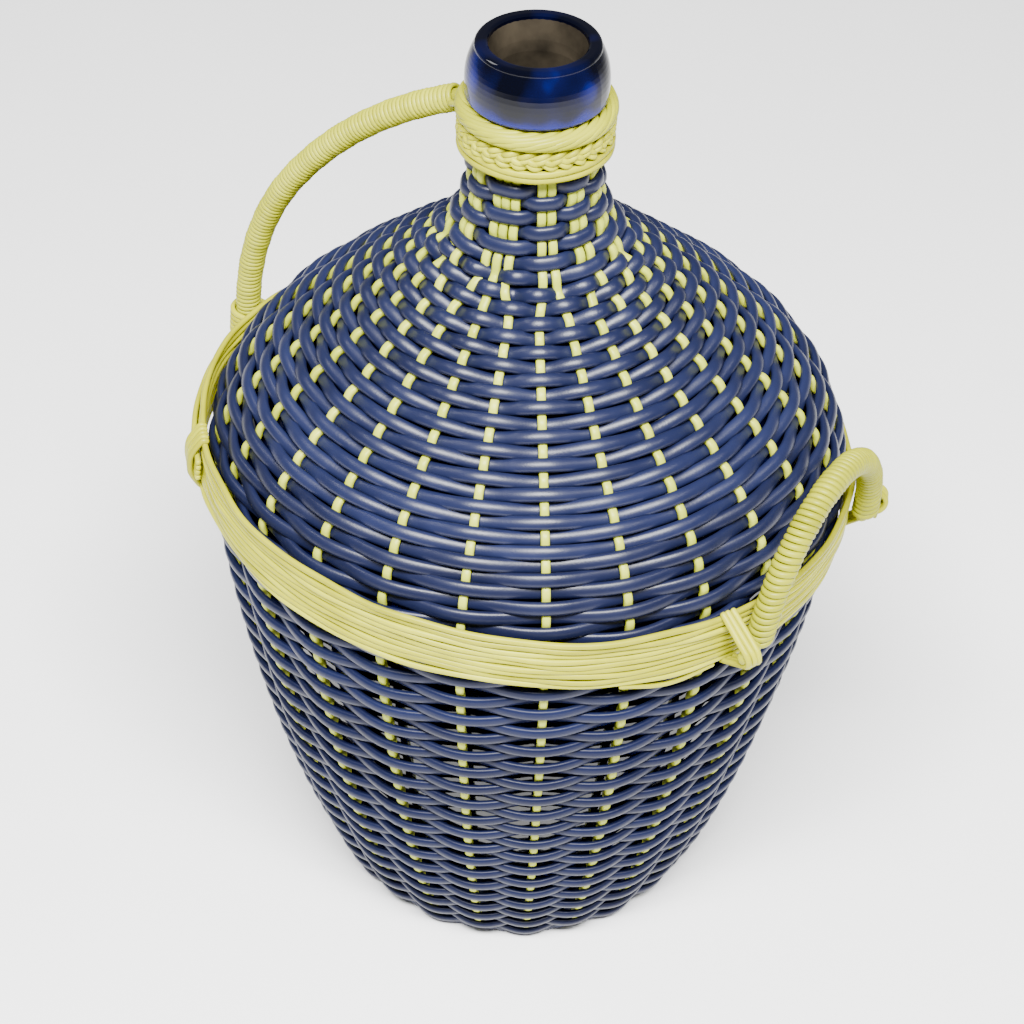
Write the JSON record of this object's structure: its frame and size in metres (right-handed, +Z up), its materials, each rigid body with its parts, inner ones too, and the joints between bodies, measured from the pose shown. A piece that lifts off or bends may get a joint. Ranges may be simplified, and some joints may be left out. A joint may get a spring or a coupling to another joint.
{
  "type": "cane-covered glass carboy",
  "caption": "Wide glass carboy with a thick-lipped neck in a woven cane cover, with a bound carrying handle from neck to waist and a hinged side handle.",
  "frame": {"origin": "on the bottle's axis, at the flat underside of the woven foot it stands on", "axes": "+Z up along the bottle's axis, -X towards the carrying handle, +X towards the side handle"},
  "size_m": [0.3456, 0.322, 0.485],
  "materials": {
    "glass": "polished cobalt blue glass",
    "blue_cane": "satin extruded plastic cane",
    "stake_cane": "satin extruded plastic cane",
    "yellow_strand": "satin thin plastic strand"
  },
  "bodies": {
    "carboy": {"glass_bottle": "glass", "foot_ring": "blue_cane", "base_weavers": "blue_cane", "base_sticks": "stake_cane", "base_centre": "stake_cane", "side_stakes": "stake_cane", "lower_rows_1": "blue_cane", "lower_rows_2": "blue_cane", "lower_rows_3": "blue_cane", "lower_rows_4": "blue_cane", "lower_rows_5": "blue_cane", "lower_rows_6": "blue_cane", "shoulder_rows_1": "blue_cane", "shoulder_rows_2": "blue_cane", "shoulder_rows_3": "blue_cane", "shoulder_rows_4": "blue_cane", "shoulder_rows_5": "blue_cane", "neck_rows": "blue_cane", "waist_band": "yellow_strand", "band_loose_end": "yellow_strand", "collar_lower_strands": "yellow_strand", "collar_braid": "yellow_strand", "collar_wrap": "yellow_strand", "carry_handle_core": "yellow_strand", "carry_handle_binding": "yellow_strand", "carry_handle_foot_lashing": "yellow_strand", "carry_handle_tail_bundle": "yellow_strand", "carry_handle_tail_lashing": "yellow_strand", "side_handle_front_lashing": "yellow_strand", "side_handle_back_lashing": "yellow_strand"},
    "side_handle": {"side_handle_core": "yellow_strand", "side_handle_binding": "yellow_strand"}
  },
  "joints": [
    {"name": "side_handle_hinge", "type": "hinge", "parent": "carboy", "child": "side_handle", "pos_m": [0.15771, -0.00029, 0.25172], "axis": [-0.0018, 0.9976, -0.0696], "range_deg": [0, 60]}
  ]
}
